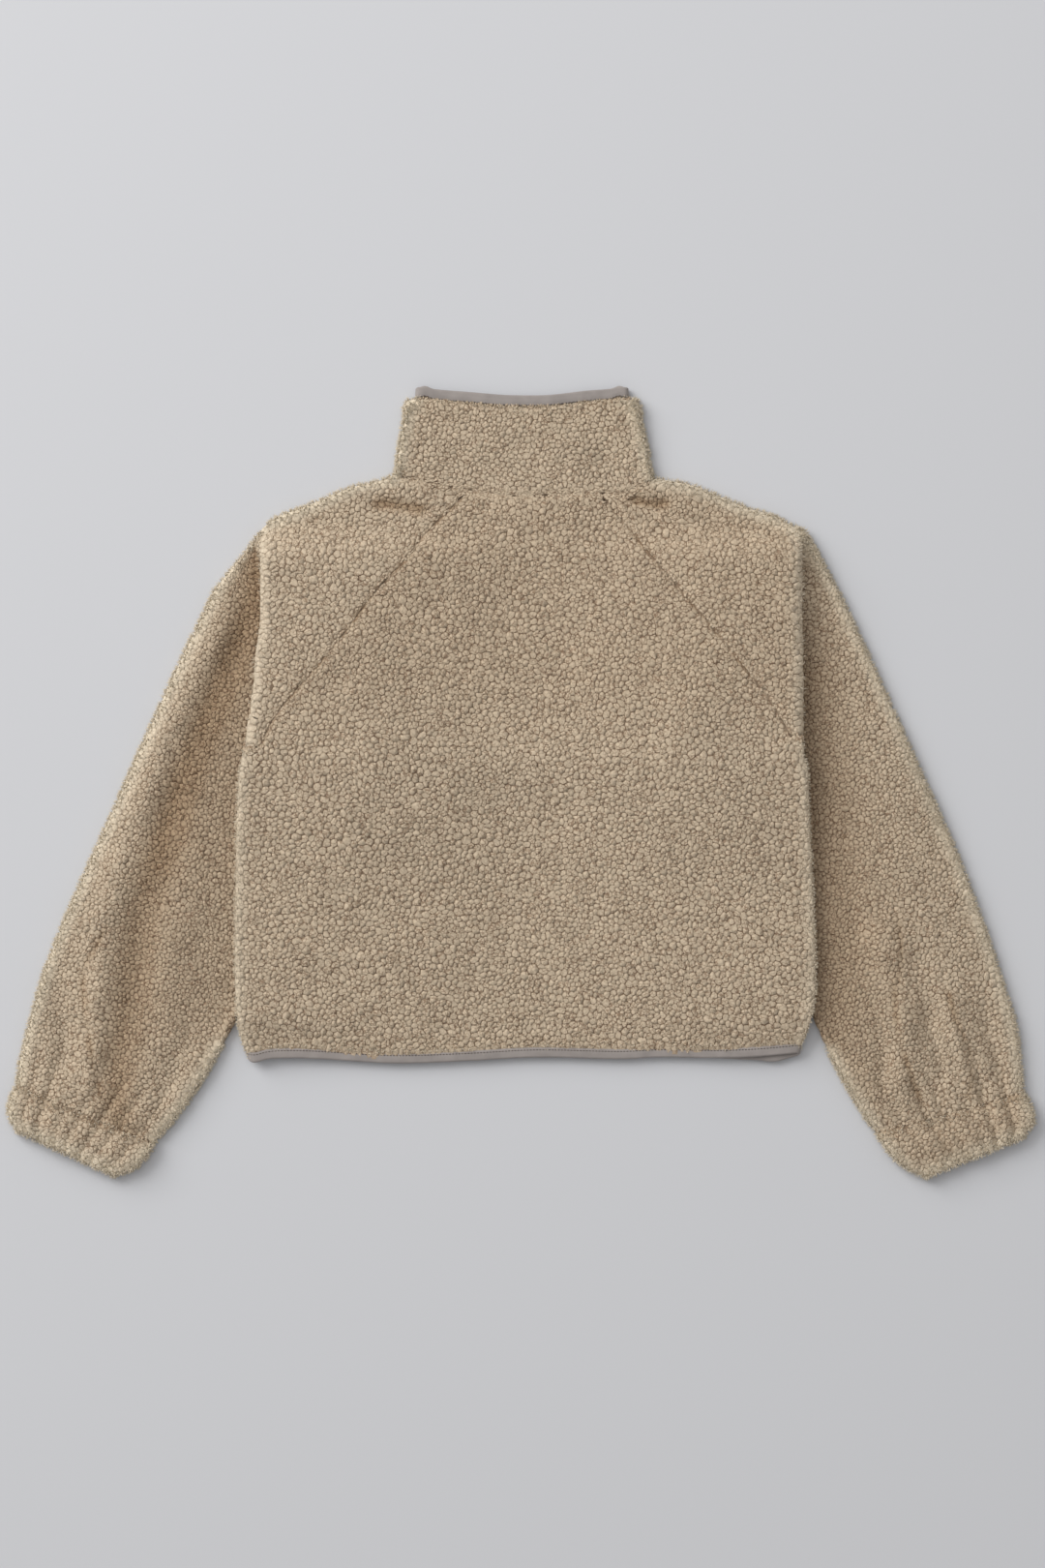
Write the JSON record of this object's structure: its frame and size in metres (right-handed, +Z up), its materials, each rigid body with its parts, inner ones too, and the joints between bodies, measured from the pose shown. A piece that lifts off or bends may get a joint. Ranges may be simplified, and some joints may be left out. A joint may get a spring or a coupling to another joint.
{
  "type": "plush cropped cardigan",
  "caption": "Cropped plush cardigan laid flat with its back up: raglan sleeves pleated under the body, stand collar, gathered cuffs, taped neck and hem edges.",
  "frame": {"origin": "on the surface the garment lies on, under the middle of its outline", "axes": "+Z up, out of the garment's back; +Y from the hem to the collar; +X to the wearer's right as the picture shows it"},
  "size_m": [0.9518, 0.735, 0.0286],
  "materials": {
    "plush": "curled pile knit, matte with a soft sheen at grazing angles",
    "binding": "fine plain weave tape, matte"
  },
  "bodies": {
    "root": {"back_body": "plush", "front_left": "plush", "front_right": "plush", "sleeve_left": "plush", "sleeve_right": "plush", "cuff_left": "plush", "cuff_right": "plush", "collar": "plush", "collar_binding": "binding", "hem_binding": "binding"}
  },
  "joints": []
}
